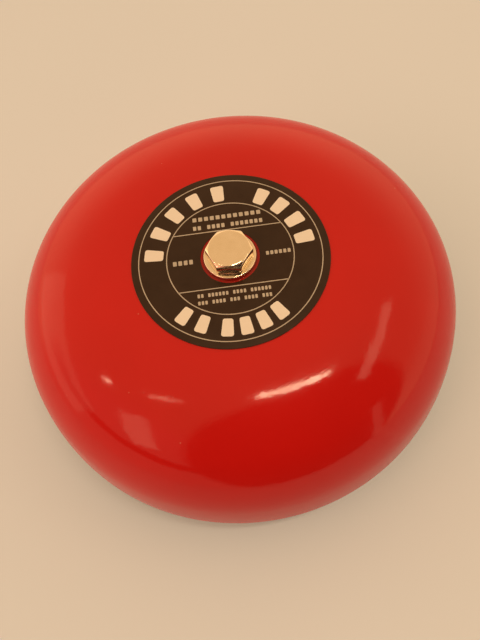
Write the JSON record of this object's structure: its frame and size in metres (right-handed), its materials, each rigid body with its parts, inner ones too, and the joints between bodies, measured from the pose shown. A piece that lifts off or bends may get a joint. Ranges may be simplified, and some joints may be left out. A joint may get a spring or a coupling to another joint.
{
  "type": "fire alarm bell",
  "caption": "Round wall-mounted alarm bell: a red domed gong held by a centre bolt, struck from inside by a solenoid plunger in a sealed housing.",
  "frame": {"origin": "centre of the rear face that meets the wall", "axes": "+Z out of the wall along the bell's axis, +Y up on the wall, the striker works along -Y"},
  "size_m": [0.15, 0.15, 0.0615],
  "materials": {
    "gong_paint": "gloss red stoved enamel over pressed steel",
    "label_print": "printed label, satin black",
    "zinc_plate": "bright zinc plate, slightly gold",
    "base_paint": "black powder coat over die-cast alloy",
    "seal_rubber": "black rubber",
    "cover_plastic": "black moulded plastic, fine texture",
    "nylon": "natural nylon",
    "plain_steel": "rolled mild steel, zinc plated",
    "bobbin_plastic": "ivory moulded nylon",
    "copper_wire": "enamelled copper wire",
    "coil_tape": "yellow polyester tape",
    "guide_brass": "drawn brass",
    "board_laminate": "green solder-masked laminate",
    "diode_body": "black moulded body, tinned leads",
    "varistor_coat": "blue dipped coating",
    "capacitor_case": "yellow moulded case",
    "terminal_plastic": "black moulded thermoset",
    "supply_sleeve": "white insulation",
    "coil_sleeve": "red insulation",
    "spring_steel": "spring wire"
  },
  "bodies": {
    "base": {"mounting_base": "base_paint", "rear_gasket": "seal_rubber", "cable_grommet": "seal_rubber", "gong_post": "plain_steel", "post_screw": "plain_steel", "rest_bumper": "seal_rubber", "post_seal": "seal_rubber", "cover_seal": "seal_rubber", "striker_bushing": "seal_rubber", "solenoid_frame": "plain_steel", "frame_screws": "zinc_plate", "coil_bobbin": "bobbin_plastic", "coil_winding": "copper_wire", "coil_wrap": "coil_tape", "guide_tube": "guide_brass", "pole_piece": "plain_steel", "circuit_board": "board_laminate", "board_spacers": "nylon", "board_screws": "zinc_plate", "rectifier_diodes": "diode_body", "varistor": "varistor_coat", "suppression_capacitor": "capacitor_case", "terminal_block": "terminal_plastic", "terminal_contacts": "guide_brass", "terminal_fixings": "zinc_plate", "supply_leads": "supply_sleeve", "coil_leads": "coil_sleeve"},
    "cover": {"mechanism_cover": "cover_plastic", "cover_screws": "zinc_plate"},
    "gong_seat": {"seat_washer": "nylon"},
    "gong": {"gong": "gong_paint", "gong_label": "label_print"},
    "bolt_washer": {"bolt_washer": "zinc_plate"},
    "gong_bolt": {"gong_bolt": "zinc_plate"},
    "striker": {"plunger": "plain_steel", "plunger_clip": "spring_steel", "striker_rod": "plain_steel", "striker_tip": "nylon", "return_spring": "spring_steel"},
    "line_clamp": {"line_clamp": "zinc_plate"},
    "line_screw": {"line_screw": "zinc_plate"},
    "neutral_clamp": {"neutral_clamp": "zinc_plate"},
    "neutral_screw": {"neutral_screw": "zinc_plate"},
    "earth_washer": {"earth_washer": "guide_brass"},
    "earth_screw": {"earth_screw": "guide_brass"}
  },
  "joints": [
    {"name": "cover_lift", "type": "slide", "parent": "base", "child": "cover", "axis": [0, 0, 1], "range_m": [0, 0.035]},
    {"name": "gong_pull_off", "type": "slide", "parent": "cover", "child": "gong_seat", "axis": [0, 0, 1], "range_m": [0, 0.05]},
    {"name": "gong_turn", "type": "hinge", "parent": "gong_seat", "child": "gong", "pos_m": [0, 0, 0.0544], "axis": [0, 0, 1], "continuous": true},
    {"name": "bolt_rise", "type": "slide", "parent": "gong", "child": "bolt_washer", "axis": [0, 0, 1], "range_m": [0, 0.01625]},
    {"name": "bolt_turn", "type": "hinge", "parent": "bolt_washer", "child": "gong_bolt", "pos_m": [0, 0, 0.0572], "axis": [0, 0, 1], "range_deg": [0, 4681]},
    {"name": "striker_slide", "type": "slide", "parent": "base", "child": "striker", "axis": [0, -1, 0], "range_m": [0, 0.0042], "stiffness_N_per_m": 150, "springref_m": -0.004, "deforming": ["return_spring"]},
    {"name": "line_clamp_rise", "type": "slide", "parent": "base", "child": "line_clamp", "axis": [0, 0, 1], "range_m": [0, 0.0024]},
    {"name": "line_screw_turn", "type": "hinge", "parent": "line_clamp", "child": "line_screw", "pos_m": [0.0245, 0.0025, 0.0184], "axis": [0, 0, 1], "range_deg": [0, 1441]},
    {"name": "neutral_clamp_rise", "type": "slide", "parent": "base", "child": "neutral_clamp", "axis": [0, 0, 1], "range_m": [0, 0.0024]},
    {"name": "neutral_screw_turn", "type": "hinge", "parent": "neutral_clamp", "child": "neutral_screw", "pos_m": [0.0245, -0.0065, 0.0184], "axis": [0, 0, 1], "range_deg": [0, 1441]},
    {"name": "earth_washer_rise", "type": "slide", "parent": "base", "child": "earth_washer", "axis": [0, 0, 1], "range_m": [0, 0.0035]},
    {"name": "earth_screw_turn", "type": "hinge", "parent": "earth_washer", "child": "earth_screw", "pos_m": [-0.024, 0.005, 0.013], "axis": [0, 0, 1], "range_deg": [0, 1801]}
  ],
  "couplings": [
    {"joint": "bolt_turn", "follows": "bolt_rise", "rad_per_m": 5026.5},
    {"joint": "line_screw_turn", "follows": "line_clamp_rise", "rad_per_m": 10472},
    {"joint": "neutral_screw_turn", "follows": "neutral_clamp_rise", "rad_per_m": 10472},
    {"joint": "earth_screw_turn", "follows": "earth_washer_rise", "rad_per_m": 8976}
  ]
}
